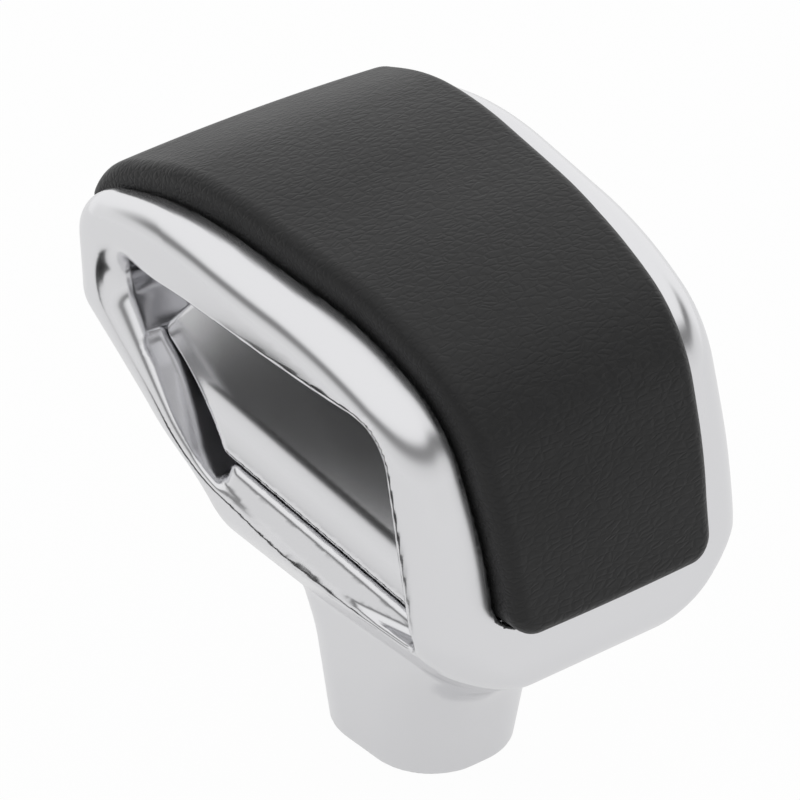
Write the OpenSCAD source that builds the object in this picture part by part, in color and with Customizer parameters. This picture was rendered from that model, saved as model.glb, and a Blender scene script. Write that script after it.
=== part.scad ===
// Shift handle of an automatic gearbox: metal shell, leather pad and a release button on the driver's side.
// Millimetres. Origin at the centre of the neck's lower end, +Z up, +Y to the car's front, -X to the thumb.

/* [Head] */
// Width across the two side rings
head_w = 62; // [60:1:66]
// Length from the chin to the nose
head_l = 82; // [80:1:88]
// Height from the neck's lower end to the crest
head_h = 82.6; // [81:0.5:88]
// Rounding along the rings' upper edges
ring_round = 4.5; // [3.5:0.5:6]
// Thickness of metal kept round the inner cavity
wall = 2; // [1.8:0.1:2.2]

/* [Neck] */
// Width of the neck at its lower end, across the car
neck_w = 22.4; // [22:0.2:26]
// Length of the neck at its lower end, along the car
neck_l = 26.7; // [25:0.1:30]
// Corner rounding of the neck
neck_round = 9.8; // [8:0.2:10.5]
// Diameter of the bore for the gear lever
bore_d = 12; // [10:0.5:13]
// Depth of the bore for the gear lever
bore_depth = 20; // [18:1:22]
// Outer diameter of the lever socket
socket_d = 18; // [16.5:0.5:18.5]

/* [Finger pockets] */
// Half width of metal left between the pockets' deep floors
floor_x = 18.5; // [18:0.25:19.5]
// Rounding of the pocket's lip
lip = 1.4; // [0.8:0.2:2]

/* [Pad] */
// Depth of the seat that the pad lies in
seat_depth = 3; // [2.5:0.25:3.5]
// Height of the leather above the metal outline
pad_rise = 4.2; // [3.5:0.1:5]
// Thickness of the leather
leather_t = 1.2; // [1:0.1:1.6]
// Thickness of the pad carrier
carrier_t = 3.2; // [2:0.1:3.6]
// Gap between the leather and the edge of its seat
pad_gap = 0.35; // [0.2:0.05:0.6]

/* [Release button] */
// Full angle of the button's stroke
button_stroke = 5; // [3:0.5:5]
// Gap round the button
button_gap = 0.5; // [0.4:0.05:0.7]
// Thickness of the button's metal skin
skin_t = 1.3; // [1:0.1:1.5]
// Diameter of the button's hinge pin
button_pin_d = 2; // [1.6:0.2:2.2]
// Diameter of the crank's pin
crank_pin_d = 2.5; // [2:0.25:3]
// Diameter of the release rod
rod_d = 4; // [3:0.5:4.5]
// Play between the button, the crank and the rod at rest
play = 0.3; // [0.25:0.05:0.35]

/* [Hidden] */
$fn = 48;
shell_grey = [0.76, 0.77, 0.78];
leather_black = [0.05, 0.05, 0.055];
running = 0.05; // radial clearance of a pin or rod in its bore
push = 0.02; // radial clearance of a part pushed into its seat
eps = 0.01;

// Proportions of the design, scaled by the driving sizes
ky = head_l / 82;
kz = head_h / 82.6;
half_w = head_w / 2;
neck_hw = neck_w / 2;
neck_hl = neck_l / 2;
arc_step = 14;

// Side outline of the head as [y, z, corner radius], anticlockwise with +Y to the right
SIDE = [[39.9 * ky, 79.4 * kz, 8], [21 * ky, 84.2 * kz, 60], [-14 * ky, 79 * kz, 60],
        [-29.3 * ky, 71.3 * kz, 18], [-34.9 * ky, 56 * kz, 60], [-39.4 * ky, 32.8 * kz, 6],
        [-neck_hl - 1.9, 14, 16], [-neck_hl + 1.6, -12, 0.5], [neck_hl - 1.1, -12, 0.5],
        [neck_hl + 3.25, 41.8 * kz, 12], [42.5 * ky, 62 * kz, 7]];
// Outline of a finger pocket
POCKET = [[35.2 * ky, 73.2 * kz, 4.5], [14 * ky, 74.4 * kz, 90], [-25 * ky, 70.4 * kz, 8],
          [-31.6 * ky, 38 * kz, 3.5], [-8 * ky, 38.6 * kz, 30], [13 * ky, 46.8 * kz, 12]];
// Outline of the release button
ridge_drop = 2;
function ledge_z(y) = (48.6 + 0.25 * y / ky) * kz;
function ridge_z(y) = ledge_z(y) - ridge_drop;
button_back = -28.3 * ky;
button_low = 11.5 * ky;
BUTTON = [[17.2 * ky, 72.8 * kz, 2.2], [-22.5 * ky, 69.6 * kz, 5], [button_back, ridge_z(button_back), 2.5],
          [button_low, ridge_z(button_low), 3], [26.8 * ky, 62.6 * kz, 2.5]];
// Inner cavity that holds the release mechanism
cavity_z = 41 * kz;
CAVITY = [[30.5 * ky, 75.5 * kz, 3], [-5 * ky, 73.5 * kz, 20], [-24 * ky, 66.5 * kz, 4],
          [-25 * ky, cavity_z, 3], [13.2 * ky, cavity_z, 2], [30.5 * ky, 58.5 * kz, 3]];
cavity_hw = floor_x - wall;
mouth_hw = 13.5;
mouth_back = -22 * ky;
mouth_front = 28 * ky;

// Release mechanism: the hinge, the crank and the rod share these places
hinge_x = -(floor_x - 1.3);
hinge_y = -18 * ky;
hinge_foot = 37 * kz;
hinge_top = 72.5 * kz;
post_x = -cavity_hw - play;
push_y = 7 * ky;
crank_x = -10;
crank_z = 47 * kz;
push_h = 10 * kz;
push_z = crank_z + push_h;
arm_r = 1.5;
tube_r = 3;
crank_face = crank_x - 2;
crank_back = -4;
crank_front = push_y + 2.5;
rod_cap_top = crank_z - arm_r - play;
rod_cap_r = 4.5;
rod_cap_h = 4;
bush_r = 5;
bush_flange_r = 6.5;
bush_top = 32.5;
shaft_r = 7.5;
socket_h = bore_depth + 2;
core_plate = 2;
core_hw = 13;
web_back = -8;
web_t = 3;
web_front = crank_front + 1;
web_front_t = 2.5;
web_left = -12;
core_top = 66 * kz;
spring_y = web_back + web_t / 2;
spring_z = 60 * kz;
bumper_r = 1.8;
SCREWS = [[-10, -13 * ky], [10, -13 * ky], [11, 9 * ky]];
screw_r = 1.5;
screw_head_r = 2.4;
screw_head_h = 1.8;
screw_l = 8;
CLIP_Y = [-14 * ky, 21 * ky];

// Functions for outlines

function unit(v) = v / norm(v);
function ramp(t) = let (c = max(0, min(1, t))) c * c * (3 - 2 * c);

// Larger or smaller of two values with a blend of radius r where they meet
function soft_max(a, b, r) = min(max(a, b), -r) + norm([max(a + r, 0), max(b + r, 0)]);
function soft_min(a, b, r) = -soft_max(-a, -b, r);

// Points of the arc at corner p between its neighbours a and b, with the outline moved outwards by off
function corner(a, p, b, r, off, step) =
    let (da = unit(a - p), db = unit(b - p), bend = acos(da * db), turn = cross(p - a, b - p),
         mid = p + unit(da + db) * r / sin(bend / 2),
         s = p + da * r / tan(bend / 2) - mid, e = p + db * r / tan(bend / 2) - mid,
         a0 = atan2(s[1], s[0]), d = (atan2(e[1], e[0]) - a0 + 540) % 360 - 180,
         n = max(1, ceil(abs(d) / step)), rr = max(0.05, r + (turn > 0 ? off : -off)))
    [for (j = [0 : n]) mid + rr * [cos(a0 + d * j / n), sin(a0 + d * j / n)]];

function flat(v) = [v[0], v[1]];
function arc_at(V, i, off = 0, step = arc_step) =
    let (n = len(V)) corner(flat(V[(i + n - 1) % n]), flat(V[i]), flat(V[(i + 1) % n]), V[i][2], off, step);
function rounded(V, off = 0, step = arc_step) = [for (i = [0 : len(V) - 1]) each arc_at(V, i, off, step)];
function reversed(L) = [for (i = [len(L) - 1 : -1 : 0]) L[i]];

// Distance from a point to a closed outline
function seg_dist(p, a, b) = let (e = b - a, t = max(0, min(1, (p - a) * e / (e * e)))) norm(p - a - t * e);
function outline_dist(p, L) = min([for (i = [0 : len(L) - 1]) seg_dist(p, L[i], L[(i + 1) % len(L)])]);

// Place at length s along an open line of points
function run(L, i = 0, acc = [0]) = i >= len(L) - 1 ? acc
    : run(L, i + 1, concat(acc, [acc[i] + norm(L[i + 1] - L[i])]));
function along(L, S, s) =
    let (k = [for (i = [0 : len(S) - 2]) if (S[i + 1] >= s) i], i = len(k) > 0 ? k[0] : len(S) - 2,
         t = (s - S[i]) / (S[i + 1] - S[i]))
    L[i] + t * (L[i + 1] - L[i]);

side_line = rounded(SIDE);

// Shape of the metal body

// Half width of the flank at height z, from the neck up to the rings
FLARE = [[neck_hw - 1.32, -12, 0.1], [neck_hw + 2, 23.5 * kz, 5], [0.848 * half_w, 38.8 * kz, 12],
         [0.961 * half_w, 50 * kz, 20], [half_w + 0.2, 90 * kz, 0.1]];
flare_line = [for (i = [1 : 3]) each corner(flat(FLARE[i - 1]), flat(FLARE[i]), flat(FLARE[i + 1]),
                                            FLARE[i][2], 0, 6)];
flare_table = [for (p = concat([flat(FLARE[0])], flare_line, [flat(FLARE[4])])) [p[1], p[0]]];
function top_half(y) = half_w - 0.00091 * pow(30 - min(y, 30), 2);
function flank(p) = soft_min(top_half(p[0]), lookup(p[1], flare_table), 2);

// Rounding between the outline and the flank
function edge_round(p) =
    let (z = p[1] / kz, above = 66 + 0.35 * p[0] / ky)
    ring_round - ramp((p[0] / ky + 5) / 30) + 2 * ramp((above - z) / 24)
    + (neck_round - ring_round - 2) * ramp((28 - z) / 14)
    + 1.6 * ramp((p[0] / ky - 10) / 16) * ramp((78 - z) / 14)
    + 2 * ramp((-26 - p[0] / ky) / 10) * ramp((44 - z) / 12);
function half_at(p, d) =
    let (w = flank(p), r = edge_round(p)) d >= r ? w : w - r + sqrt(r * r - pow(r - d, 2));

// Rear and front edge of each row, from the neck to the crest
function at_height(a, b, z) = a + (b - a) * (z - a[1]) / (b[1] - a[1]);
rear_low = reversed(arc_at(SIDE, 6));
front_low = arc_at(SIDE, 9);
rear_foot = at_height(flat(SIDE[7]), rear_low[0], 0);
front_foot = at_height(flat(SIDE[8]), front_low[0], 0);

// Rows meet these stages of both edges: foot, lower bend, under edge, upper corner, crest
ROWS = [4, 6, 10, 8, 5];
rear_arcs = [rear_low, reversed(arc_at(SIDE, 5)), reversed(arc_at(SIDE, 4)), reversed(arc_at(SIDE, 3)),
             reversed(arc_at(SIDE, 2))];
front_arcs = [front_low, arc_at(SIDE, 10), arc_at(SIDE, 0), arc_at(SIDE, 1)];
rear_line = concat([rear_foot], [for (a = rear_arcs) each a]);
front_line = concat([front_foot], [for (a = front_arcs) each a]);
rear_run = run(rear_line);
front_run = run(front_line);
function count(A, i) = i == 0 ? 1 : count(A, i - 1) + len(A[i - 1]);
function key(A, S, at) = let (k = count(A, at[0]) + at[1] * (len(A[at[0]]) - 1), f = floor(k), c = ceil(k))
    S[f] + (k - f) * (S[c] - S[f]);
rear_keys = concat([0], [for (at = [[0, 0.5], [1, 0.5], [3, 0], [4, 0]]) key(rear_arcs, rear_run, at)],
                   [rear_run[len(rear_run) - 1]]);
front_keys = concat([0], [for (at = [[0, 0.5], [1, 0.5], [2, 0.5], [3, 0]]) key(front_arcs, front_run, at)],
                    [front_run[len(front_run) - 1]]);
row_stage = [for (i = [0 : len(ROWS) - 1]) each [for (j = [0 : ROWS[i] - 1]) [i, j / ROWS[i]]]];
function key_at(K, s) = K[s[0]] + s[1] * (K[s[0] + 1] - K[s[0]]);
row_ends = concat([for (s = row_stage) [along(rear_line, rear_run, key_at(rear_keys, s)),
                                        along(front_line, front_run, key_at(front_keys, s))]],
                  [[rear_line[len(rear_line) - 1], front_line[len(front_line) - 1]]]);
ACROSS = 20;
foot_bevel = 1;
function row_point(e, k) = e[0] + (e[1] - e[0]) * (0.5 - 0.5 * cos(180 * k / ACROSS));
function body_row(e, last = false) = [for (k = [0 : ACROSS])
    let (p = row_point(e, k), d = last || k == 0 || k == ACROSS ? 0 : outline_dist(p, side_line))
    [half_at(p, d), p[0], p[1]]];
function bevelled(R) =
    [for (v = R) [v[0] * (1 - foot_bevel / neck_hw), v[1] * (1 - foot_bevel / neck_hl), v[2]]];
first_row = body_row(row_ends[0]);
body_rows = concat([bevelled(first_row)], [[for (v = first_row) [v[0], v[1], v[2] + foot_bevel]]],
                   [for (i = [1 : len(row_ends) - 1]) body_row(row_ends[i], i == len(row_ends) - 1)]);

// Solid between the rows on the +X side and their mirror images
module body_solid() {
    n = len(body_rows);
    m = ACROSS + 1;
    right = [for (R = body_rows) each R];
    left = [for (v = right) [-v[0], v[1], v[2]]];
    h = n * m;
    skin = [for (i = [0 : n - 2]) for (k = [0 : m - 2]) let (a = i * m + k, b = a + 1, c = a + m, d = c + 1)
            each [[a, c, b], [b, c, d], [h + a, h + b, h + c], [h + b, h + d, h + c]]];
    ends = [for (i = [0 : n - 2]) let (a = i * m, c = a + m, e = a + m - 1, g = c + m - 1)
            each [[a, h + a, c], [h + a, h + c, c], [e, g, h + e], [h + e, g, h + g]]];
    t = (n - 1) * m;
    caps = [for (k = [0 : m - 2])
            each [[k, k + 1, h + k], [k + 1, h + k + 1, h + k],
                  [t + k, h + t + k, t + k + 1], [t + k + 1, h + t + k, h + t + k + 1]]];
    polyhedron(concat(right, left), concat(skin, ends, caps));
}

// Solid through rings of points that all have the same length
module ring_solid(R) {
    n = len(R);
    m = len(R[0]);
    sides = [for (i = [0 : n - 2]) for (j = [0 : m - 1]) let (a = i * m + j, b = i * m + (j + 1) % m)
             each [[a, b, a + m], [b, b + m, a + m]]];
    polyhedron([for (r = R) each r],
               concat([[for (j = [m - 1 : -1 : 0]) j]], sides, [[for (j = [0 : m - 1]) (n - 1) * m + j]]));
}

// Prism across the car from an outline in the side view, between x0 and x1
module across(L, x0, x1) {
    translate([x0, 0, 0]) rotate([90, 0, 90]) linear_extrude(x1 - x0) polygon(L);
}

// Finger pocket on the +X side with its rounded lip
LIP = [[3, 1], [0, 1], [-0.134, 0.5], [-0.5, 0.134], [-1, 0]];
function lip_ring(c) = [for (p = rounded(POCKET, lip * c[1], 10)) [flank(p) + lip * c[0], p[0], p[1]]];
pocket_inside = 10;
module pocket() {
    ring_solid(concat([for (c = LIP) lip_ring(c)],
                      [[for (p = rounded(POCKET, 0, 10)) [pocket_inside, p[0], p[1]]]]));
}

// Face of the panel, its ledge and the strip below, as distances from the middle
function panel_x(y) = floor_x + 2 + 4.5 * (y / ky + 17) / 43;
ledge_slope = 1.2;
strip_slope = 0.5;
strip_drop = 25;
function ridge_x(y) = panel_x(y) + ledge_slope * ridge_drop;
panel_from = -45 * ky;
panel_to = 50 * ky;
strip_front = 11 * ky;
function strip_foot(y) = [[0, y, ridge_z(y) - strip_drop],
                          [ridge_x(y) + strip_slope * strip_drop, y, ridge_z(y) - strip_drop],
                          [ridge_x(y), y, ridge_z(y)]];
module strip_block() {
    ring_solid([for (y = [panel_from, strip_front]) concat(strip_foot(y), [[0, y, ridge_z(y)]])]);
}
module panel_block() {
    ring_solid([for (y = [panel_from, panel_to])
                concat(strip_foot(y), [[panel_x(y), y, ledge_z(y)],
                                       [panel_x(y), y, 100 * kz], [0, y, 100 * kz]])]);
}
module pocket_cut() {
    difference() {
        pocket();
        translate([0, panel_from, 0]) cube([floor_x, 100 * ky, 100 * kz]);
        children();
    }
}

// Pad: a strip that follows the outline from the nose to the lower rear
pad_nose = arc_at(SIDE, 0, 0, 4);
nose_start = 1;
pad_end_z = 42 * kz;
pad_raw = concat([for (i = [nose_start : len(pad_nose) - 1]) pad_nose[i]],
                 [for (i = [1 : 4]) each arc_at(SIDE, i, 0, 6)],
                 [at_height(flat(SIDE[4]), flat(SIDE[5]), pad_end_z)]);
pad_run = run(pad_raw);
pad_l = pad_run[len(pad_run) - 1];
PAD_WIDTH = [[35, 25], [59, 23.2], [81, 22], [95, 21.3], [110, 20.3], [134, 19.3], [153, 18.4],
             [172, 17.5], [190, 17]];
function pad_half(p) = lookup((atan2(p[1] / kz - 45, p[0] / ky) + 360) % 360, PAD_WIDTH) + half_w - 31;
function pad_normal(s) =
    let (a = along(pad_raw, pad_run, max(0, s - 1)), b = along(pad_raw, pad_run, min(pad_l, s + 1)),
         d = unit(b - a))
    [d[1], -d[0]];
function pad_corner(p) = p[1] > 60 * kz ? 2.5 : 5;
pad_roll = 2.2;
nose_drop = 1.35;
EDGE_STEPS = [0, 0.3, 1, 2.2, 3.6, 5];
pad_mid = 30;
pad_stations = concat(EDGE_STEPS, [for (i = [1 : pad_mid - 1]) 5 + (pad_l - 10) * i / pad_mid],
                      [for (i = [5 : -1 : 0]) pad_l - EDGE_STEPS[i]]);

// Solid of the strip from depth lo to depth hi off the outline, with its edges moved in by inset
function strip_ring(s, lo, hi, inset, roll) =
    let (e = min(s, pad_l - s), p = along(pad_raw, pad_run, inset + s * (pad_l - 2 * inset) / pad_l),
         c = max(0.05, pad_corner(p) - inset),
         n = pad_normal(inset + s * (pad_l - 2 * inset) / pad_l),
         w = pad_half(p) - inset - (e < c ? c - sqrt(c * c - pow(c - e, 2)) : 0),
         h = hi - (e < roll ? 0.8 * (roll - sqrt(roll * roll - pow(roll - e, 2))) : 0)
             - (roll > 0 ? nose_drop * ramp((p[0] / ky - 22) / 20) : 0),
         crown = roll > 0 ? 0.5 : 0, r = max(roll, 0.1),
         rim = [[w, lo], [w, h - r], [w - 0.29 * r, h - 0.29 * r], [w - r, h], [0.5 * w, h + 0.75 * crown]])
    [for (v = concat([for (v = rim) [-v[0], v[1]]], [[0, h + crown]], reversed(rim)))
     [v[0], p[0] + n[0] * v[1], p[1] + n[1] * v[1]]];
module strip(lo, hi, inset, roll) {
    ring_solid([for (s = pad_stations) strip_ring(s, lo, hi, inset, roll)]);
}
module seat_cut() {
    ring_solid([for (s = pad_stations) strip_ring(s, -seat_depth, 12, -pad_gap, 0)]);
}

// Opening from the cavity up to the pad's seat
module mouth() {
    translate([-mouth_hw, mouth_back, 60 * kz]) cube([2 * mouth_hw, mouth_front - mouth_back, 25 * kz]);
}

module pin_z(x, y, z, r, h) {
    translate([x, y, z]) cylinder(r = r, h = h);
}

module handle_shell() {
    color(shell_grey) difference() {
        body_solid();
        pocket_cut() panel_block();
        mirror([1, 0, 0]) pocket_cut() strip_block();
        seat_cut();
        across(rounded(CAVITY), -cavity_hw, cavity_hw);
        mouth();
        across(rounded(BUTTON, button_gap / 2), -2 * floor_x, -cavity_hw + 1);
        pin_z(0, 0, -1, socket_d / 2 + push, socket_h + 1);
        pin_z(0, 0, socket_h - 1, bush_r + push, 20);
        pin_z(0, 0, bush_top - 1.5, shaft_r, 20);
        pin_z(hinge_x, hinge_y, hinge_foot, button_pin_d / 2 + push, 100 * kz);
        for (s = SCREWS) pin_z(s[0], s[1], cavity_z - screw_l - 0.5, screw_r + push, screw_l + 1);
    }
}

module leather_cover() {
    color(leather_black) difference() {
        strip(-seat_depth + 0.4, pad_rise, 0, pad_roll);
        strip(-seat_depth - 2, pad_rise - leather_t, leather_t, pad_roll - 1);
    }
}

layer_gap = 0.05;
module foam_layer() {
    color("khaki") strip(-seat_depth + carrier_t + layer_gap, pad_rise - leather_t - layer_gap,
                         leather_t + layer_gap, pad_roll - 1);
}

leg_w = 8;
leg_t = 2;
leg_reach = 4.9;
leg_x = mouth_hw - 1 - leg_t;
crest = [for (i = [2, 1]) each reversed(arc_at(SIDE, i))];
leg_z = min([for (y = CLIP_Y) lookup(y, crest)]) - seat_depth - leg_reach;
module each_leg() {
    for (y = CLIP_Y, s = [-1, 1]) translate([s * (leg_x + leg_t / 2), y, leg_z]) {
        $leg_h = lookup(y, crest) - 1 - leg_z;
        children();
    }
}
module pad_carrier() {
    color("dimgray") union() {
        strip(-seat_depth + layer_gap, -seat_depth + carrier_t, leather_t + 2 * layer_gap, 0);
        each_leg() translate([-leg_t / 2, -leg_w / 2, 0]) cube([leg_t, leg_w, $leg_h]);
    }
}

clip_t = 0.5;
module carrier_clips() {
    color("silver") each_leg() difference() {
        translate([-leg_t / 2 - clip_t, -3, -clip_t]) cube([leg_t + 2 * clip_t, 6, 3.5 + clip_t]);
        translate([-leg_t / 2 - layer_gap, -4, -layer_gap]) cube([leg_t + 2 * layer_gap, 8, 4]);
    }
}

module inner_core() {
    color("dimgray") difference() {
        union() {
            translate([-core_hw, -17 * ky, cavity_z])
                cube([2 * core_hw, 17 * ky + web_front + web_front_t, core_plate]);
            translate([web_left, web_back, cavity_z]) cube([8.5 - web_left, web_t, core_top - cavity_z]);
            translate([web_left, web_front, cavity_z])
                cube([8.5 - web_left, web_front_t, core_top - cavity_z]);
            translate([6, web_back, cavity_z])
                cube([2.5, web_front + web_front_t - web_back, core_top - cavity_z]);
        }
        pin_z(0, 0, cavity_z - 1, rod_cap_r + 1, core_plate + 2);
        crank_hole(crank_pin_d / 2 + push);
        for (s = SCREWS) pin_z(s[0], s[1], cavity_z - 1, screw_r + 0.2, core_plate + 2);
    }
}

module core_screws() {
    color("silver") for (s = SCREWS) translate([s[0], s[1], cavity_z + core_plate]) difference() {
        union() {
            cylinder(r = screw_head_r, h = screw_head_h);
            translate([0, 0, -screw_l]) cylinder(r = screw_r, h = screw_l + eps);
        }
        translate([0, 0, screw_head_h - 1]) cylinder(r = 1.2, h = 2, $fn = 6);
    }
}

// Slab behind the button's sloping face, from depth t0 to depth t1
module face_slab(t0, t1) {
    a = -30 * ky;
    b = 32 * ky;
    translate([0, 0, 35 * kz]) mirror([1, 0, 0]) linear_extrude(45 * kz)
        polygon([[panel_x(a) - t1, a], [panel_x(b) - t1, b], [panel_x(b) - t0, b], [panel_x(a) - t0, a]]);
}
module button_prism(inset) {
    across(rounded(BUTTON, -button_gap / 2 - inset), -2 * floor_x, post_x);
}
face_round = 0.8;

// Wedge along the button's lower edge that the thumb rests on
module thumb_ledge() {
    mirror([1, 0, 0]) ring_solid([for (y = [-35 * ky, 20 * ky]) let (x = panel_x(y), z = ledge_z(y))
        [[x - 1, y, ridge_z(y) - 1], [x + ledge_slope * (ridge_drop + 1), y, ridge_z(y) - 1],
         [x - 1, y, z + 1 / ledge_slope]]]);
}
module hinge_hole(clearance) {
    pin_z(hinge_x, hinge_y, hinge_foot - 1, button_pin_d / 2 + clearance, hinge_top - hinge_foot + 2);
}
module button_cap() {
    color(shell_grey) difference() {
        union() {
            intersection() {
                button_prism(0);
                face_slab(face_round, 20);
            }
            intersection() {
                button_prism(face_round * 0.3);
                face_slab(face_round * 0.3, face_round + eps);
            }
            intersection() {
                button_prism(face_round);
                face_slab(0, face_round);
            }
            intersection() {
                button_prism(0);
                thumb_ledge();
            }
        }
        intersection() {
            across(rounded(BUTTON, -button_gap / 2 - skin_t), -2 * floor_x, 0);
            face_slab(skin_t, 30);
        }
        hinge_hole(running);
    }
}

lug_r = 2.1;
plate_t = 1.6;
module button_lever() {
    color("dimgray") difference() {
        union() {
            intersection() {
                button_prism(skin_t + 0.05);
                face_slab(skin_t, skin_t + plate_t);
            }
            intersection() {
                union() {
                    translate([hinge_x, hinge_y, 48 * kz]) cylinder(r = lug_r, h = 16 * kz);
                    push_arm();
                    translate([post_x, web_front + web_front_t / 2, 0]) {
                        for (z = BUMPER_Z)
                            translate([0, 0, z]) rotate([0, -90, 0]) cylinder(r = bumper_r, h = 9);
                    }
                }
                face_slab(skin_t + 0.05, 30);
            }
        }
        hinge_hole(running);
    }
}
tip_x = crank_face - play - arm_r;
BUMPER_Z = [57 * kz, 64 * kz];
module push_arm() {
    translate([tip_x - 14, push_y - 2, push_z - arm_r]) cube([14, 4, 2 * arm_r]);
    translate([tip_x, push_y - 2, push_z]) rotate([-90, 0, 0]) cylinder(r = arm_r, h = 4);
}

module button_pin() {
    color("silver") pin_z(hinge_x, hinge_y, hinge_foot, button_pin_d / 2, hinge_top - hinge_foot);
}

// Coil spring along +Z from z = 0
module coil(r, wire, l, turns) {
    steps = 14;
    k = 6;
    rise = l - 2 * wire;
    n = turns * steps;
    ring_solid([for (i = [0 : n]) [for (j = [0 : k - 1])
        let (a = 360 * i / steps, b = -360 * j / k, q = r + wire * cos(b))
        [q * cos(a), q * sin(a), wire + rise * i / n + wire * sin(b)]]]);
}

button_spring_l = panel_x(spring_y) - skin_t - plate_t + web_left - 0.1;
module button_spring() {
    color("silver") translate([web_left - 0.02, spring_y, spring_z]) rotate([0, -90, 0])
        coil(1.1, 0.2, button_spring_l, 6);
}

// Where the button's posts stop at full stroke
stop_reach = web_front + web_front_t / 2 - hinge_y;
bumper_x = post_x + stop_reach * sin(button_stroke) + play;
module stop_bumpers() {
    color([0.08, 0.08, 0.08]) for (z = BUMPER_Z)
        translate([web_left, web_front + web_front_t / 2, z]) rotate([0, -90, 0])
            cylinder(r = web_front_t / 2, h = web_left - bumper_x);
}

module crank_hole(r) {
    translate([crank_x, -20, crank_z]) rotate([-90, 0, 0]) cylinder(r = r, h = 50);
}
module release_crank() {
    color("ivory") difference() {
        union() {
            translate([crank_x, crank_back, crank_z]) rotate([-90, 0, 0])
                cylinder(r = tube_r, h = crank_front - crank_back);
            translate([crank_face, push_y - 2.5, crank_z]) cube([4, 5, push_h + 2]);
            translate([crank_x, crank_back, crank_z - arm_r]) cube([-crank_x, 8, 2 * arm_r]);
            translate([0, crank_back, crank_z]) rotate([-90, 0, 0]) cylinder(r = arm_r, h = 8);
        }
        crank_hole(crank_pin_d / 2 + running);
    }
}

clip_h = 0.6;
pin_back = web_back - clip_h - 0.5;
pin_front = web_front + web_front_t + clip_h + 0.5;
module crank_pin() {
    color("silver") translate([crank_x, pin_back, crank_z]) rotate([-90, 0, 0])
        cylinder(r = crank_pin_d / 2, h = pin_front - pin_back);
}
module pin_clips() {
    color("silver") for (y = [web_back - clip_h, web_front + web_front_t])
        translate([crank_x, y, crank_z]) rotate([-90, 0, 0]) difference() {
            cylinder(r = tube_r - 0.4, h = clip_h);
            translate([0, 0, -1]) cylinder(r = crank_pin_d / 2, h = clip_h + 2);
            translate([-1, 0, -1]) cube([2, 4, clip_h + 2]);
        }
}

rod_top = rod_cap_top - 1.5;
rod_foot = bore_depth - 1.5;
module rod_cap() {
    color("ivory") difference() {
        pin_z(0, 0, rod_cap_top - rod_cap_h, rod_cap_r, rod_cap_h);
        pin_z(0, 0, rod_cap_top - rod_cap_h - 1, rod_d / 2, rod_cap_h - 0.5);
    }
}
module release_rod() {
    color("silver") pin_z(0, 0, rod_foot, rod_d / 2, rod_top - rod_foot);
}
module rod_spring() {
    color("silver") translate([0, 0, bush_top])
        coil(rod_d / 2 + 1.2, 0.35, rod_cap_top - rod_cap_h - bush_top, 5);
}
module rod_bush() {
    color("ivory") difference() {
        union() {
            pin_z(0, 0, socket_h, bush_r, bush_top - socket_h);
            pin_z(0, 0, bush_top - 1.5, bush_flange_r, 1.5);
        }
        pin_z(0, 0, socket_h - 1, rod_d / 2 + running, bush_top - socket_h + 2);
    }
}

ring_z = 16;
ring_wire = 0.6;
module lever_socket() {
    color("dimgray") difference() {
        pin_z(0, 0, 0, socket_d / 2, socket_h);
        pin_z(0, 0, -1, bore_d / 2, bore_depth + 1);
        pin_z(0, 0, bore_depth - 1, rod_d / 2 + 0.6, 4);
        pin_z(0, 0, ring_z - ring_wire, bore_d / 2 + 0.9, 2 * ring_wire);
    }
}
module retaining_ring() {
    color("silver") translate([0, 0, ring_z]) rotate([0, 0, 120])
        rotate_extrude(angle = 300) translate([bore_d / 2 + 0.25, 0]) circle(r = ring_wire - eps, $fn = 16);
}

handle_shell();
leather_cover();
foam_layer();
pad_carrier();
carrier_clips();
inner_core();
core_screws();
button_cap();
button_lever();
button_pin();
button_spring();
stop_bumpers();
release_crank();
crank_pin();
pin_clips();
rod_cap();
release_rod();
rod_spring();
rod_bush();
lever_socket();
retaining_ring();
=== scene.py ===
import math

import bpy
import numpy as np
from bpy.props import FloatProperty, StringProperty
from mathutils import Matrix, Vector


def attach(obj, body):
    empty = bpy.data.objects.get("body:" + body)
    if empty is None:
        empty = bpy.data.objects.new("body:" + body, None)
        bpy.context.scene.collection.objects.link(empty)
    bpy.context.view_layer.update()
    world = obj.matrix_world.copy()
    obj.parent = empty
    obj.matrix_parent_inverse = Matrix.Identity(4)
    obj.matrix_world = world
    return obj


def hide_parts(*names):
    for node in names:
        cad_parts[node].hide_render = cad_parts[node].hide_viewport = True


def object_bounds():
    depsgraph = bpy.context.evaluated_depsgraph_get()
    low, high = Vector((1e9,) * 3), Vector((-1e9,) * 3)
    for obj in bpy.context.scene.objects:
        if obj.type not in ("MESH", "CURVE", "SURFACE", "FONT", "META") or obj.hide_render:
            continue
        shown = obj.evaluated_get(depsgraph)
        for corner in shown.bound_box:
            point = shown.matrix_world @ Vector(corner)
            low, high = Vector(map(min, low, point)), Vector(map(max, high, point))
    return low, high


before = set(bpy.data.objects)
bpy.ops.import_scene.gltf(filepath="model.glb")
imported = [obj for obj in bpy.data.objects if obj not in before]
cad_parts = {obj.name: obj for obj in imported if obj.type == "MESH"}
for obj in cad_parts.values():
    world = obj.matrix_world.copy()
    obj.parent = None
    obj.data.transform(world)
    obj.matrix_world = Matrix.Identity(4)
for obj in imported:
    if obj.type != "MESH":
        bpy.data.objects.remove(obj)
CAD_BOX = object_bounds()

bl_info = {
    "name": "Gear shift handle",
    "version": (1, 0, 0),
    "blender": (4, 5, 0),
    "location": "3D View > Sidebar > Shift Handle",
    "description": "Dresses the packed handle: plated shell, leather pad, release button and inner pieces",
    "category": "Object",
}

MM = 0.001


# Sizes

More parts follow.
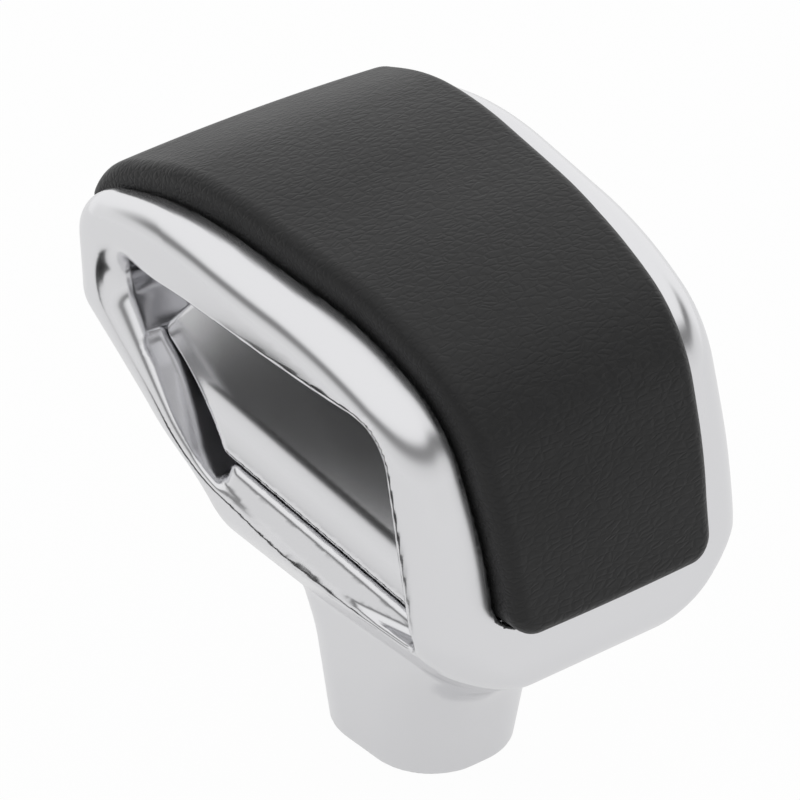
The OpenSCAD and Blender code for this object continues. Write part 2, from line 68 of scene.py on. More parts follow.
class HandleSizes(bpy.types.PropertyGroup):
    """Sizes of the handle's visible forms, as in the CAD model."""
    head_w: FloatProperty(name="Head width", description="Across the two side rings, mm", default=62.0)
    floor_x: FloatProperty(name="Deep floor", default=18.5,
                           description="From the middle to the deep floor of a pocket, mm")
    seat_depth: FloatProperty(name="Seat depth", description="How deep the pad is let in, mm", default=3.0)
    pad_rise: FloatProperty(name="Pad rise", description="Leather above the metal outline, mm", default=4.2)
    pad_gap: FloatProperty(name="Pad gap", description="Gap round the leather, mm", default=0.35)
    leather_t: FloatProperty(name="Leather thickness", description="Thickness of the cover, mm", default=1.2)
    button_gap: FloatProperty(name="Button gap", description="Gap round the release button, mm", default=0.5)
    shell_step: FloatProperty(name="Shell mesh step", description="Spacing of the shell's mesh, mm",
                              default=0.64)
    pad_step: FloatProperty(name="Pad mesh step", description="Spacing of the leather's mesh, mm",
                            default=0.6)
    button_step: FloatProperty(name="Button mesh step", description="Spacing of the button's mesh, mm",
                               default=0.4)


class HandleColours(bpy.types.PropertyGroup):
    """Colours of the finishes, as sRGB hex values."""
    chrome: StringProperty(name="Satin chrome", description="Plated shell and button", default="#E3E3E5")
    leather: StringProperty(name="Leather", description="Pad cover", default="#0F0F10")
    plastic: StringProperty(name="Black plastic", description="Moulded inner pieces", default="#1B1B1C")
    acetal: StringProperty(name="Natural acetal", description="Sliding inner pieces", default="#E6E1D3")
    steel: StringProperty(name="Spring steel", description="Pins, springs and clips", default="#A9ABAE")
    rubber: StringProperty(name="Rubber", description="Stop bumpers", default="#141414")
    foam: StringProperty(name="Foam", description="Layer below the leather", default="#B5AC8C")
    floor: StringProperty(name="Floor", description="Studio floor", default="#DEDEDE")
    card: StringProperty(name="Card", description="Dark card beside the object", default="#101010")


def sizes():
    return bpy.context.scene.handle_sizes


def colours():
    return bpy.context.scene.handle_colours


# Outlines in the side view, as (y, z, corner radius) in mm, anticlockwise with +Y to the right

SIDE = [(39.9, 79.4, 8), (21, 84.2, 60), (-14, 79, 60), (-29.3, 71.3, 18), (-34.9, 56, 60), (-39.4, 32.8, 6),
        (-15.25, 14, 16), (-11.75, -12, 0.5), (12.25, -12, 0.5), (16.6, 41.8, 12), (42.5, 62, 7)]
POCKET = [(35.2, 73.2, 4.5), (14, 74.4, 90), (-25, 70.4, 8), (-31.6, 38, 3.5), (-8, 38.6, 30), (13, 46.8, 12)]
BUTTON = [(17.2, 72.8, 2.2), (-22.5, 69.6, 5), (-28.3, 39.525, 2.5), (11.5, 49.475, 3), (26.8, 62.6, 2.5)]
CAVITY = [(30.5, 75.5, 3), (-5, 73.5, 20), (-24, 66.5, 4), (-25, 41, 3), (13.2, 41, 2), (30.5, 58.5, 3)]
# Half width of the neck and the flanks, as (half width, z, corner radius)
FLARE = [(9.88, -12, 0.1), (13.2, 23.5, 5), (26.3, 38.8, 12), (29.8, 50, 20), (31.2, 90, 0.1)]
# Half width of the pad, as (angle in degrees, mm)
PAD_WIDTH = [(35, 25), (59, 23.2), (81, 22), (95, 21.3), (110, 20.3), (134, 19.3), (153, 18.4), (172, 17.5),
             (190, 17)]


class Corner:
    """The arc that rounds one corner of an outline."""

    def __init__(self, before, at, after):
        at, self.radius = np.array(at[:2], float), at[2]
        to_a, to_b = np.array(before[:2], float) - at, np.array(after[:2], float) - at
        to_a, to_b = to_a / np.hypot(*to_a), to_b / np.hypot(*to_b)
        half = math.acos(float(to_a @ to_b)) / 2
        inward = (to_a + to_b) / np.hypot(*(to_a + to_b))
        reach = self.radius / math.tan(half)
        self.mid = at + inward * self.radius / math.sin(half)
        self.start, self.end = at + to_a * reach, at + to_b * reach
        self.out, self.spread = -inward, math.cos(math.pi / 2 - half)
        self.turn = 1.0 if to_a[0] * to_b[1] < to_a[1] * to_b[0] else -1.0

    def points(self, count):
        """Points along the arc."""
        first, last = (math.atan2(*(end - self.mid)[::-1]) for end in (self.start, self.end))
        last = first + (last - first + math.pi) % (2 * math.pi) - math.pi
        angles = np.linspace(first, last, count)
        return self.mid + self.radius * np.c_[np.cos(angles), np.sin(angles)]


def corners(outline):
    n = len(outline)
    return [Corner(outline[i - 1], outline[i], outline[(i + 1) % n]) for i in range(n)]


def outline_distance(arcs, y, z):
    """Exact signed distance from points to a rounded outline, negative inside."""
    best = np.full(np.shape(y), 1e9)
    for arc, after in zip(arcs, arcs[1:] + arcs[:1]):
        dy, dz = y - arc.mid[0], z - arc.mid[1]
        away = np.hypot(dy, dz)
        in_reach = dy * arc.out[0] + dz * arc.out[1] >= away * arc.spread
        d = np.where(in_reach, (away - arc.radius) * arc.turn, 1e9)
        best = np.where(np.abs(d) < np.abs(best), d, best)
        run = after.start - arc.end
        length = np.hypot(*run)
        run = run / length
        dy, dz = y - arc.end[0], z - arc.end[1]
        along = dy * run[0] + dz * run[1]
        d = np.where((along >= 0) & (along <= length), dy * run[1] - dz * run[0], 1e9)
        best = np.where(np.abs(d) < np.abs(best), d, best)
    return best


def soft_max(a, b, r):
    """Larger of two fields, with a fillet of radius r where they meet."""
    return np.minimum(np.maximum(a, b), -r) + np.sqrt(np.maximum(a + r, 0) ** 2 + np.maximum(b + r, 0) ** 2)


def soft_min(a, b, r):
    return -soft_max(-a, -b, r)


def ramp(t):
    t = np.clip(t, 0, 1)
    return t * t * (3 - 2 * t)


LINES = {"side": corners(SIDE), "pocket": corners(POCKET), "button": corners(BUTTON),
         "cavity": corners(CAVITY)}
FLARE_LINE = np.vstack([np.array([FLARE[0][:2]])]
                       + [Corner(FLARE[i - 1], FLARE[i], FLARE[i + 1]).points(40) for i in (1, 2, 3)]
                       + [np.array([FLARE[4][:2]])])


class Place:
    """Points in mm with their distances to the side-view outlines, each worked out once."""

    def __init__(self, x, y, z):
        self.x, self.y, self.z = x, y, z
        self.known = {}

    def to(self, name):
        if name not in self.known:
            if np.ndim(self.y) == 3:
                y, z = np.broadcast_arrays(self.y, self.z)
                self.known[name] = outline_distance(LINES[name], y[0], z[0])[None]
            else:
                self.known[name] = outline_distance(LINES[name], self.y, self.z)
        return self.known[name]


# Fields of the visible pieces: negative inside, in mm

WIDEST_Y = 30.0
TAPER = 0.00091
WAIST_FILLET = 2.0
CROWN_REACH = 9.0
RING_CROWN = 0.014


def flank(y, z):
    """Half width of the metal body: widest at the front, narrower to the rear and down the neck."""
    head = sizes().head_w / 2 - TAPER * (WIDEST_Y - np.minimum(y, WIDEST_Y)) ** 2
    return soft_min(head, np.interp(z, FLARE_LINE[:, 1], FLARE_LINE[:, 0]), WAIST_FILLET)


def ring_crown(p):
    """How far the side of a ring falls away towards the outline."""
    return RING_CROWN * np.maximum(CROWN_REACH + p.to("side"), 0) ** 2 * ramp((p.z - 40) / 20)


def edge_round(y, z):
    """Rounding between the side outline and the flank."""
    rings = 4.5 - ramp((y + 5) / 30)
    below_rings = 2 * ramp((66 + 0.35 * y - z) / 24)
    neck = 3.3 * ramp((28 - z) / 14)
    nose = 1.6 * ramp((y - 10) / 16) * ramp((78 - z) / 14)
    chin = 2 * ramp((-26 - y) / 10) * ramp((44 - z) / 12)
    return rings + below_rings + neck + nose + chin


NOSE_CORNER = 2.5
REAR_CORNER = 4.4
LEATHER_CORNER_LESS = 0.5


def pad_corner(z):
    """Corner radius of the pad's seat: small at the nose, larger at the lower rear."""
    return np.where(z > 60, NOSE_CORNER, REAR_CORNER)


PANEL_RISE = 2.0
PANEL_SLANT = 4.5 / 43
PANEL_START = -17.0


def panel_x(y):
    """Face of the raised panel, from the middle."""
    return sizes().floor_x + PANEL_RISE + PANEL_SLANT * (y - PANEL_START)


LEDGE_START = 48.6
LEDGE_CLIMB = 0.25
RIDGE_DROP = 2.0
LEDGE_SLOPE = 1.2
STRIP_SLOPE = 0.5
STRIP_FRONT = 11.0


def ledge_z(y):
    """Height of the line between the panel and the ledge below it."""
    return LEDGE_START + LEDGE_CLIMB * y


def ledge_field(p, face):
    """Sloping ledge below a panel whose face is given."""
    return (face - LEDGE_SLOPE * (ledge_z(p.y) - p.z)) / math.hypot(1, LEDGE_SLOPE)


def strip_field(p, face):
    """Strip below the ledge's outer edge."""
    foot = ledge_z(p.y) - RIDGE_DROP - p.z
    return (face - LEDGE_SLOPE * RIDGE_DROP - STRIP_SLOPE * foot) / math.hypot(1, STRIP_SLOPE)


def lip_round(y):
    """Rounding of the pocket's lip: small at the rear, larger at the front."""
    return 1.3 + 3 * ramp((y - 18) / 14)


PAD_TABLE = np.array(PAD_WIDTH, float)
PAD_CENTRE_Z = 45.0
REAR_END_Z = 42.0
FRONT_END_Z = 74.8


def pad_half(y, z):
    """Half width of the pad, by the angle round its centre in the side view."""
    angle = np.degrees(np.arctan2(z - PAD_CENTRE_Z, y)) % 360
    return np.interp(angle, PAD_TABLE[:, 0], PAD_TABLE[:, 1])


def past_ends(y, z):
    """How far a point lies past the pad's two ends."""
    return np.where(y < 0, REAR_END_Z - z, FRONT_END_Z - z)


def seat_field(p):
    s = sizes()
    edge = soft_max(np.abs(p.x) - pad_half(p.y, p.z) - s.pad_gap, past_ends(p.y, p.z) - s.pad_gap,
                    pad_corner(p.z))
    return np.maximum(edge, -s.seat_depth - p.to("side"))


POCKET_FILLET = 1.0
STRIP_EDGE = 0.8
KEPT_EDGE = 1.2
STRIP_END = 3.0
PANEL_FOOT = 2.0


def pocket_field(p):
    """Both finger pockets: the left one is deep round the button, the right one has a fixed panel."""
    ax = np.abs(p.x)
    face = ax - panel_x(p.y)
    strip = strip_field(p, face)
    fixed = soft_min(face, soft_max(ledge_field(p, face), strip, STRIP_EDGE), PANEL_FOOT)
    right = soft_max(p.to("pocket"), -fixed, POCKET_FILLET)
    below = soft_max(p.z - ledge_z(p.y) + RIDGE_DROP, strip, KEPT_EDGE)
    kept = soft_max(below, p.y - STRIP_FRONT, STRIP_END)
    deep = soft_max(p.to("pocket"), sizes().floor_x - ax, POCKET_FILLET)
    left = soft_max(deep, -kept, POCKET_FILLET)
    return np.where(p.x < 0, left, right)


FLOOR_WALL = 2.0
MOUTH_HALF = 13.5
MOUTH_Y = 3.0
MOUTH_REACH = 25.0
MOUTH_FOOT = 60.0
# Round holes up the neck, as (radius, lowest z, highest z)
NECK_HOLES = [(9.02, -10, 22), (5.02, 21, 32), (7.5, 31, 50)]


def inner_field(p):
    """Cavity for the mechanism, its mouth below the pad, the button's window and the neck's bores."""
    s = sizes()
    ax = np.abs(p.x)
    half = s.floor_x - FLOOR_WALL
    cavity = np.maximum(p.to("cavity"), ax - half)
    mouth = np.maximum(np.maximum(ax - MOUTH_HALF, np.abs(p.y - MOUTH_Y) - MOUTH_REACH), MOUTH_FOOT - p.z)
    window = np.maximum(p.to("button") - s.button_gap / 2,
                        np.maximum(p.x + half - 1, -2 * s.floor_x - p.x))
    radius = np.hypot(p.x, p.y)
    holes = [np.maximum(radius - r, np.maximum(low - p.z, p.z - high)) for r, low, high in NECK_HOLES]
    return np.minimum.reduce(np.broadcast_arrays(cavity, mouth, window, *holes))


FOOT_ROUND = 1.0
SEAT_EDGE = 0.5
HOLE_EDGE = 0.3


def shell_field(p):
    body = soft_max(p.to("side"), np.abs(p.x) - flank(p.y, p.z) + ring_crown(p), edge_round(p.y, p.z))
    body = soft_max(body, -p.z, FOOT_ROUND)
    body = soft_max(body, -pocket_field(p), lip_round(p.y))
    body = soft_max(body, -seat_field(p), SEAT_EDGE)
    return soft_max(body, -inner_field(p), HOLE_EDGE)


PAD_CROWN = 0.5
PAD_CROWN_HALF = 22.0
NOSE_DROP = 1.35
PAD_ROLL = 2.2
SEAT_CLEARANCE = 0.4


def leather_field(p):
    s = sizes()
    crown = PAD_CROWN * (1 - (p.x / PAD_CROWN_HALF) ** 2) - NOSE_DROP * ramp((p.y - 22) / 20)
    edge = soft_max(np.abs(p.x) - pad_half(p.y, p.z), past_ends(p.y, p.z),
                    pad_corner(p.z) - LEATHER_CORNER_LESS)
    top = p.to("side") - s.pad_rise - crown
    outer = soft_max(top, edge, PAD_ROLL)
    outer = np.maximum(outer, SEAT_CLEARANCE - s.seat_depth - p.to("side"))
    inner = soft_max(top + s.leather_t, edge + s.leather_t, s.leather_t)
    return np.maximum(outer, -inner)


BUTTON_WALL = 1.3
BUTTON_FOOT = 1.7
BUTTON_EDGE = 1.0
THUMB_FILLET = 4.5


def button_field(p):
    s = sizes()
    face = -p.x - panel_x(p.y)
    edge = p.to("button") + s.button_gap / 2
    outer = soft_max(edge, soft_min(face, ledge_field(p, face), THUMB_FILLET), BUTTON_EDGE)
    outer = np.maximum(outer, p.x + s.floor_x - BUTTON_FOOT)
    inner = np.maximum(edge + BUTTON_WALL, face + BUTTON_WALL)
    return np.maximum(outer, -inner)


# Meshing

def sample(field, lo, hi, step):
    count = [int(math.ceil((hi[i] - lo[i]) / step)) + 1 for i in range(3)]
    axes = [lo[i] + step * np.arange(count[i]) for i in range(3)]
    grid = Place(axes[0][:, None, None], axes[1][None, :, None], axes[2][None, None, :])
    return np.broadcast_to(field(grid).astype(np.float32), count)


def net(values):
    """Surface net of a sampled field: one point in each crossed cell, one quad on each crossed edge."""
    sign = values < 0
    low, high = slice(None, -1), slice(1, None)
    total = sum(sign[a, b, c].astype(np.uint8) for a in (low, high) for b in (low, high) for c in (low, high))
    cells = np.nonzero((total > 0) & (total < 8))
    number = -np.ones(total.shape, np.int64)
    number[cells] = np.arange(len(cells[0]))
    points = np.zeros((len(cells[0]), 3))
    crossings = np.zeros(len(cells[0]))
    corners = np.array([(a, b, c) for a in (0, 1) for b in (0, 1) for c in (0, 1)])
    for i, a in enumerate(corners):
        for b in corners[i + 1:]:
            if np.abs(a - b).sum() != 1:
                continue
            va = values[tuple(c + o for c, o in zip(cells, a))]
            vb = values[tuple(c + o for c, o in zip(cells, b))]
            crossed = (va < 0) != (vb < 0)
            t = np.where(crossed, va / np.where(crossed, va - vb, 1), 0)
            points[crossed] += (a + (b - a) * t[:, None])[crossed]
            crossings[crossed] += 1
    points = points / crossings[:, None] + np.stack(cells, 1)
    quads = []
    for axis in range(3):
        u, v = (axis + 1) % 3, (axis + 2) % 3
        inner = [slice(1, -1)] * 3
        first, second = list(inner), list(inner)
        first[axis], second[axis] = low, high
        at = list(np.nonzero(sign[tuple(first)] != sign[tuple(second)]))
        at[u] = at[u] + 1
        at[v] = at[v] + 1
        ring = []
        for du, dv in ((1, 1), (0, 1), (0, 0), (1, 0)):
            cell = list(at)
            cell[u] = at[u] - du
            cell[v] = at[v] - dv
            ring.append(number[tuple(cell)])
        quad = np.stack(ring, 1)
        flip = ~sign[tuple(at)]
        quad[flip] = quad[flip][:, ::-1]
        quads.append(quad)
    return points, np.vstack(quads)


SLOPE_STEP = 0.02


def slope(field, points):
    """Gradient of a field at points, by central differences."""
    out = np.empty_like(points)
    for i in range(3):
        shift = np.zeros(3)
        shift[i] = SLOPE_STEP
        ahead, back = points + shift, points - shift
        out[:, i] = (field(Place(*ahead.T)) - field(Place(*back.T))) / (2 * SLOPE_STEP)
    return out


def onto(field, points, rounds=3):
    """Moves points onto a field's surface."""
    for _ in range(rounds):
        g = slope(field, points)
        value = field(Place(*points.T))
        points = points - g * (value / np.maximum((g * g).sum(1), 0.25))[:, None]
    return points


def field_mesh(name, field, lo, hi, step):
    """A smooth closed mesh on a field's surface, with exact normals, in metres."""
    values = sample(field, lo, hi, step)
    points, quads = net(values)
    points = onto(field, points * step + np.array(lo))
    normals = slope(field, points)
    normals /= np.linalg.norm(normals, axis=1)[:, None] + 1e-9
    mesh = bpy.data.meshes.new(name)
    mesh.from_pydata((points * MM).tolist(), [], quads.tolist())
    mesh.update()
    mesh.polygons.foreach_set("use_smooth", np.ones(len(quads), bool))
    mesh.normals_split_custom_set_from_vertices(normals.tolist())
    piece = bpy.data.objects.new(name, mesh)
    bpy.context.scene.collection.objects.link(piece)
    return piece


# Finishes

def linear(hex_value):
    """An sRGB hex value as a linear colour."""
    parts = [int(hex_value[i:i + 2], 16) / 255 for i in (1, 3, 5)]
    return [c / 12.92 if c <= 0.04045 else ((c + 0.055) / 1.055) ** 2.4 for c in parts] + [1.0]


def add_node(tree, kind, links=None, **settings):
    """Adds a node; settings name its attributes or sockets, links its inputs."""
    node = tree.nodes.new(kind)
    for key, value in settings.items():
        if key in node.bl_rna.properties:
            setattr(node, key, value)
        else:
            node.inputs[key.replace("_", " ")].default_value = value
    for key, source in (links or {}).items():
        tree.links.new(source, node.inputs[key])
    return node


def finish_named(name):
    """A new material with its node tree and its surface shader."""
    material = bpy.data.materials.new(name)
    material.use_nodes = True
    tree = material.node_tree
    return material, tree, tree.nodes["Principled BSDF"]


def satin_chrome():
    # Satin chrome on a zinc casting, plated over a fine bead-blasted copper layer: broad soft reflections
    # that keep their shapes, with a very slight unevenness from the blasting.
    material, tree, shader = finish_named("satin_chrome_plate")
    shader.inputs["Base Color"].default_value = linear(colours().chrome)
    shader.inputs["Metallic"].default_value = 1.0
    place = add_node(tree, "ShaderNodeTexCoord").outputs["Object"]
    grit = 1 / (0.25 * MM)
    fine = add_node(tree, "ShaderNodeTexNoise", {"Vector": place}, Scale=grit, Detail=2.0)
    cloud = add_node(tree, "ShaderNodeTexNoise", {"Vector": place}, Scale=1 / (9 * MM), Detail=3.0)
    rough = add_node(tree, "ShaderNodeMapRange", {"Value": cloud.outputs["Fac"]}, To_Min=0.17, To_Max=0.21)
    tree.links.new(rough.outputs["Result"], shader.inputs["Roughness"])
    bump = add_node(tree, "ShaderNodeBump", {"Height": fine.outputs["Fac"]}, Strength=0.02,
                    Distance=0.05 * MM)
    tree.links.new(bump.outputs["Normal"], shader.inputs["Normal"])
    return material


def leather_finish():
    # Chrome-tanned calf leather, dyed through and finished matt: fine pebble grain, drawn into short creases
    # that run across the pad where it is pulled over the bend.
    material, tree, shader = finish_named("black_calf_leather")
    shader.inputs["IOR"].default_value = 1.5
    shader.inputs["Specular IOR Level"].default_value = 0.4
    shader.inputs["Sheen Weight"].default_value = 0.06
    shader.inputs["Sheen Roughness"].default_value = 0.5
    place = add_node(tree, "ShaderNodeTexCoord").outputs["Object"]
    grain_size = 0.9 * MM
    warp = add_node(tree, "ShaderNodeTexNoise", {"Vector": place}, Scale=1 / (3 * MM), Detail=2.0)
    mixed = add_node(tree, "ShaderNodeMixRGB", {"Color1": place, "Color2": warp.outputs["Color"]}, Fac=0.0012)
    along = add_node(tree, "ShaderNodeMapping", {"Vector": mixed.outputs["Color"]}, Scale=(0.45, 1.0, 1.0))
    cells = add_node(tree, "ShaderNodeTexVoronoi", {"Vector": along.outputs["Vector"]}, Scale=1 / grain_size,
                     feature="DISTANCE_TO_EDGE")
    pebble = add_node(tree, "ShaderNodeMapRange", {"Value": cells.outputs["Distance"]}, From_Max=0.25)
    creases = add_node(tree, "ShaderNodeTexNoise", {"Vector": along.outputs["Vector"]}, Scale=1 / (1.4 * MM),
                       Detail=6.0, Roughness=0.62)
    height = add_node(tree, "ShaderNodeMath", {0: pebble.outputs["Result"], 1: creases.outputs["Fac"]},
                      operation="MULTIPLY")
    bump = add_node(tree, "ShaderNodeBump", {"Height": height.outputs["Value"]}, Strength=0.6,
                    Distance=0.15 * MM)
    tree.links.new(bump.outputs["Normal"], shader.inputs["Normal"])
    patch = add_node(tree, "ShaderNodeTexNoise", {"Vector": place}, Scale=1 / (14 * MM), Detail=3.0)
    rough = add_node(tree, "ShaderNodeMapRange", {"Value": patch.outputs["Fac"]}, To_Min=0.43, To_Max=0.52)
    tree.links.new(rough.outputs["Result"], shader.inputs["Roughness"])
    # Painted shade: the valleys between the pebbles are given a colour 0.72 times as dark as the tops.
    valley_shade = [c * 0.72 for c in linear(colours().leather)[:3]] + [1.0]
    shaded_pebble_colour = add_node(tree, "ShaderNodeMixRGB", {"Fac": pebble.outputs["Result"]}, Color1=valley_shade,
                    Color2=linear(colours().leather))
    tree.links.new(shaded_pebble_colour.outputs["Color"], shader.inputs["Base Color"])
    return material


ROUGHNESS_SPREAD = 0.06


def moulded(name, hex_value, roughness, grain_mm, depth_mm, ior):
    """A moulded plastic or rubber with a spark-eroded or waxy skin."""
    material, tree, shader = finish_named(name)
    shader.inputs["Base Color"].default_value = linear(hex_value)
    shader.inputs["IOR"].default_value = ior
    place = add_node(tree, "ShaderNodeTexCoord").outputs["Object"]
    grain = add_node(tree, "ShaderNodeTexNoise", {"Vector": place}, Scale=1 / (grain_mm * MM), Detail=3.0)
    rough = add_node(tree, "ShaderNodeMapRange", {"Value": grain.outputs["Fac"]},
                     To_Min=roughness - ROUGHNESS_SPREAD, To_Max=roughness + ROUGHNESS_SPREAD)
    tree.links.new(rough.outputs["Result"], shader.inputs["Roughness"])
    bump = add_node(tree, "ShaderNodeBump", {"Height": grain.outputs["Fac"]}, Strength=0.25,
                    Distance=depth_mm * MM)
    tree.links.new(bump.outputs["Normal"], shader.inputs["Normal"])
    return material


def drawn_steel():
    # Drawn spring steel with a thin oil film: fine lengthwise streaks and a grey, slightly uneven shine.
    material, tree, shader = finish_named("drawn_spring_steel")
    shader.inputs["Base Color"].default_value = linear(colours().steel)
    shader.inputs["Metallic"].default_value = 1.0
    place = add_node(tree, "ShaderNodeTexCoord").outputs["Object"]
    stretched = add_node(tree, "ShaderNodeMapping", {"Vector": place}, Scale=(1.0, 1.0, 0.08))
    streak = add_node(tree, "ShaderNodeTexNoise", {"Vector": stretched.outputs["Vector"]},
                      Scale=1 / (0.3 * MM))
    rough = add_node(tree, "ShaderNodeMapRange", {"Value": streak.outputs["Fac"]}, To_Min=0.24, To_Max=0.38)
    tree.links.new(rough.outputs["Result"], shader.inputs["Roughness"])
    return material


def wear(piece, material):
    piece.data.materials.clear()
    piece.data.materials.append(material)


def shared(name, make):
    """One material for several pieces, made when it is first asked for."""
    return bpy.data.materials.get(name) or make()


# Operators, one for each piece or group of like pieces, and the boxes in mm that their meshes are made in

SHELL_BOX = (-33, -42, -2), (33, 47, 86)
PAD_BOX = (-29, -45, 39), (29, 48, 90)
BUTTON_BOX = (-29, -30, 37), (-15, 30, 76)


class HANDLE_OT_shell(bpy.types.Operator):
    """Meshes the plated shell with its neck, side rings, finger pockets and pad seat."""
    bl_idname = "handle.shell"
    bl_label = "Plated shell"

    def execute(self, context):
        piece = field_mesh("plated_shell", shell_field, *SHELL_BOX, sizes().shell_step)
        wear(piece, shared("satin_chrome_plate", satin_chrome))
        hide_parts("handle_shell")
        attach(piece, "handle")
        return {"FINISHED"}


class HANDLE_OT_leather(bpy.types.Operator):
    """Meshes the leather cover with its crown, rolled edges and soft corners."""
    bl_idname = "handle.leather"
    bl_label = "Leather cover"

    def execute(self, context):
        piece = field_mesh("leather_pad", leather_field, *PAD_BOX, sizes().pad_step)
        wear(piece, leather_finish())
        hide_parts("leather_cover")
        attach(piece, "handle")
        return {"FINISHED"}


class HANDLE_OT_button(bpy.types.Operator):
    """Meshes the release button's metal face."""
    bl_idname = "handle.button"
    bl_label = "Release button"

    def execute(self, context):
        piece = field_mesh("release_button", button_field, *BUTTON_BOX, sizes().button_step)
        wear(piece, shared("satin_chrome_plate", satin_chrome))
        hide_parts("button_cap")
        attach(piece, "button")
        return {"FINISHED"}


BLACK_PLASTIC = ("pad_carrier", "inner_core", "button_lever", "lever_socket")
ACETAL = ("release_crank", "rod_cap", "rod_bush")
STEEL = ("carrier_clips", "core_screws", "button_pin", "button_spring", "crank_pin", "pin_clips",
         "release_rod", "rod_spring", "retaining_ring")


class HANDLE_OT_inner(bpy.types.Operator):
    """Gives the inner pieces and the lever socket their finishes."""
    bl_idname = "handle.inner"
    bl_label = "Inner pieces"

    def execute(self, context):
        c = colours()
        # Glass-filled polyamide, moulded in a spark-eroded tool: an even, fine matt grain
        plastic = moulded("black_polyamide", c.plastic, 0.5, 0.5, 0.03, 1.53)
        # Natural acetal, moulded: slightly waxy and faintly mottled
        acetal = moulded("natural_acetal", c.acetal, 0.36, 1.5, 0.01, 1.48)
        # Nitrile rubber, moulded: matt with a faint bloom
        rubber = moulded("nitrile_rubber", c.rubber, 0.7, 0.4, 0.02, 1.52)
        # Closed-cell foam: open, crumbly skin
        foam = moulded("closed_cell_foam", c.foam, 0.85, 0.7, 0.2, 1.4)
        steel = drawn_steel()
        for names, material in ((BLACK_PLASTIC, plastic), (ACETAL, acetal), (STEEL, steel),
                                (("stop_bumpers",), rubber), (("foam_layer",), foam)):
            for name in names:
                wear(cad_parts[name], material)
        return {"FINISHED"}


# Stage

CAMERA_AZIMUTH = -38.7
CAMERA_ELEVATION = 31.0
PIXELS_PER_MM = 7.0
FOCAL_PIXELS = 5000.0
PHOTO_WIDTH = 800
NECK_PIXEL = (421.7, 722.5)  # where the photo shows the centre of the neck's foot
SENSOR = 36.0


def place_camera():
    a, e = math.radians(CAMERA_AZIMUTH), math.radians(CAMERA_ELEVATION)
    back = Vector((math.sin(a) * math.cos(e), -math.cos(a) * math.cos(e), math.sin(e)))
    right = Vector((math.cos(a), math.sin(a), 0))
    up = back.cross(right)
    distance = FOCAL_PIXELS / PIXELS_PER_MM
    aside = (NECK_PIXEL[0] - PHOTO_WIDTH / 2) / FOCAL_PIXELS * distance
    below = (NECK_PIXEL[1] - PHOTO_WIDTH / 2) / FOCAL_PIXELS * distance
    data = bpy.data.cameras.new("photo_camera")
    camera = bpy.data.objects.new("photo_camera", data)
    bpy.context.scene.collection.objects.link(camera)
    data.sensor_width = SENSOR
    data.lens = FOCAL_PIXELS / PHOTO_WIDTH * SENSOR
    data.clip_start, data.clip_end = 0.01, 20
    turn = Matrix((right, up, back)).transposed().to_4x4()
    camera.matrix_world = Matrix.Translation((back * distance - right * aside + up * below) * MM) @ turn
    bpy.context.scene.camera = camera


# Brightness of the studio by the sine of the height above the horizon: pale walls, a darker gap and a
# broad top light. The front right of the room has no gap.
SKY = ((0.0, 0.88), (0.28, 0.80), (0.41, 0.25), (0.53, 0.20), (0.63, 1.0), (1.0, 1.0))
FRONT_RIGHT = (0.63, 0.78, 0)
FLOOR_REACH = 1.5
SEEN_GLOW = 0.97
MIRRORED_GLOW = 0.6
CARD = [(-0.160, 0.03, 0), (-0.078, 0.01, 0), (-0.078, 0.08, 0), (-0.160, 0.115, 0)]
FLOOR_BELOW = 0.1 * MM
CARD_ABOVE = 1 * MM


def studio_world(scene):
    world = bpy.data.worlds.new("studio_world")
    scene.world = world
    world.use_nodes = True
    tree = world.node_tree
    tree.nodes.clear()
    direction = add_node(tree, "ShaderNodeTexCoord").outputs["Generated"]
    height = add_node(tree, "ShaderNodeSeparateXYZ", {0: direction})
    sky = add_node(tree, "ShaderNodeValToRGB", {"Fac": height.outputs["Z"]})
    stops = sky.color_ramp.elements
    for i, (place, grey) in enumerate(SKY):
        stop = stops[i] if i < len(stops) else stops.new(place)
        stop.position, stop.color = place, (grey, grey, grey, 1)
    front = add_node(tree, "ShaderNodeVectorMath", {0: direction}, operation="DOT_PRODUCT")
    front.inputs[1].default_value = FRONT_RIGHT
    share = add_node(tree, "ShaderNodeMapRange", {"Value": front.outputs["Value"]}, From_Min=0.35,
                     From_Max=0.6)
    colour = add_node(tree, "ShaderNodeMixRGB", {"Fac": share.outputs["Result"],
                                                 "Color1": sky.outputs["Color"]}, Color2=(1, 1, 1, 1))
    light = add_node(tree, "ShaderNodeBackground", {"Color": colour.outputs["Color"]}, Strength=1.0)
    add_node(tree, "ShaderNodeOutputWorld", {"Surface": light.outputs["Background"]})


def flat_piece(scene, name, outline, height):
    """A flat face at a height, made of one polygon."""
    mesh = bpy.data.meshes.new(name)
    mesh.from_pydata(outline, [], [tuple(range(len(outline)))])
    piece = bpy.data.objects.new(name, mesh)
    piece.location.z = height
    scene.collection.objects.link(piece)
    return piece


def ray_share(tree, ray, share):
    """A share of one kind of ray, as a number."""
    node = add_node(tree, "ShaderNodeMath", {0: ray}, operation="MULTIPLY")
    node.inputs[1].default_value = share
    return node.outputs[0]


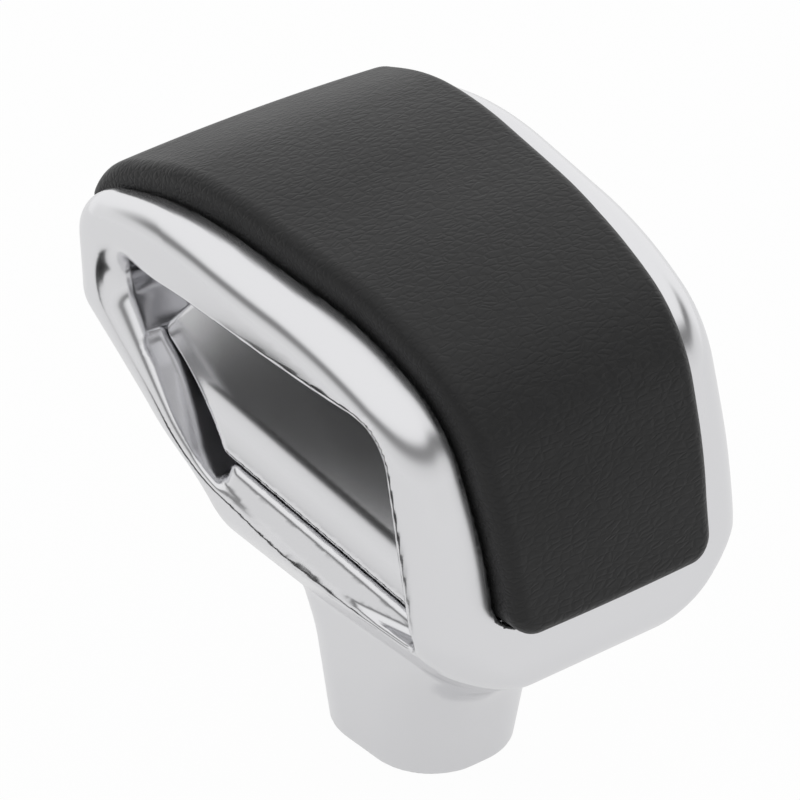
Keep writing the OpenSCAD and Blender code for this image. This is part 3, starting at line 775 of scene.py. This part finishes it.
def floor_finish():
    # Matt white card: it stays white to the camera, a little less so in the metal, and keeps a faint
    # contact shadow
    material, tree, shader = finish_named("pale_studio_floor")
    shader.inputs["Base Color"].default_value = linear(colours().floor)
    shader.inputs["Roughness"].default_value = 0.9
    glow = add_node(tree, "ShaderNodeEmission", Color=(1, 1, 1, 1), Strength=1.0)
    path = add_node(tree, "ShaderNodeLightPath")
    seen = ray_share(tree, path.outputs["Is Camera Ray"], SEEN_GLOW)
    mirrored = ray_share(tree, path.outputs["Is Glossy Ray"], MIRRORED_GLOW)
    either = add_node(tree, "ShaderNodeMath", {0: seen, 1: mirrored}, operation="MAXIMUM")
    white = add_node(tree, "ShaderNodeMath", {0: either.outputs[0], 1: path.outputs["Is Transmission Ray"]},
                     operation="MAXIMUM")
    mix = add_node(tree, "ShaderNodeMixShader", {0: white.outputs[0], 1: shader.outputs["BSDF"],
                                                 2: glow.outputs["Emission"]})
    tree.links.new(mix.outputs["Shader"], tree.nodes["Material Output"].inputs["Surface"])
    return material


def card_finish():
    # Flocked card, which the metal shows as a dark area: no shine, almost no light back
    material, _, shader = finish_named("black_flocked_card")
    shader.inputs["Base Color"].default_value = linear(colours().card)
    shader.inputs["Roughness"].default_value = 0.95
    return material


class HANDLE_OT_stage(bpy.types.Operator):
    """Sets the floor, the dark card, the soft studio light, the camera and the view transform."""
    bl_idname = "handle.stage"
    bl_label = "Studio stage"

    def execute(self, context):
        scene = context.scene
        scene.view_settings.view_transform = "Standard"
        studio_world(scene)
        foot = CAD_BOX[0].z
        corners_of_floor = [(-FLOOR_REACH, -FLOOR_REACH, 0), (FLOOR_REACH, -FLOOR_REACH, 0),
                            (FLOOR_REACH, FLOOR_REACH, 0), (-FLOOR_REACH, FLOOR_REACH, 0)]
        floor = flat_piece(scene, "studio_floor", corners_of_floor, foot - FLOOR_BELOW)
        wear(floor, floor_finish())
        # The card lies beside the object so that the metal has something dark to show
        card = flat_piece(scene, "black_card", CARD, foot + CARD_ABOVE)
        card.visible_camera = False
        wear(card, card_finish())
        place_camera()
        return {"FINISHED"}


class HANDLE_PT_panel(bpy.types.Panel):
    """Lists the handle's pieces, sizes and colours in the sidebar."""
    bl_label = "Shift Handle"
    bl_idname = "HANDLE_PT_panel"
    bl_space_type = "VIEW_3D"
    bl_region_type = "UI"
    bl_category = "Shift Handle"

    def draw(self, context):
        for operator in OPERATORS:
            self.layout.operator(operator.bl_idname)
        for group in (context.scene.handle_sizes, context.scene.handle_colours):
            for name in group.__annotations__:
                self.layout.prop(group, name)


OPERATORS = (HANDLE_OT_shell, HANDLE_OT_leather, HANDLE_OT_button, HANDLE_OT_inner, HANDLE_OT_stage)
GROUPS = (HandleSizes, HandleColours)


def register():
    for cls in GROUPS + OPERATORS + (HANDLE_PT_panel,):
        bpy.utils.register_class(cls)
    bpy.types.Scene.handle_sizes = bpy.props.PointerProperty(type=HandleSizes)
    bpy.types.Scene.handle_colours = bpy.props.PointerProperty(type=HandleColours)


def unregister():
    del bpy.types.Scene.handle_colours
    del bpy.types.Scene.handle_sizes
    for cls in reversed(GROUPS + OPERATORS + (HANDLE_PT_panel,)):
        bpy.utils.unregister_class(cls)


def main():
    register()
    for operator in OPERATORS:
        group, name = operator.bl_idname.split(".")
        getattr(getattr(bpy.ops, group), name)()


if __name__ == "__main__":
    main()
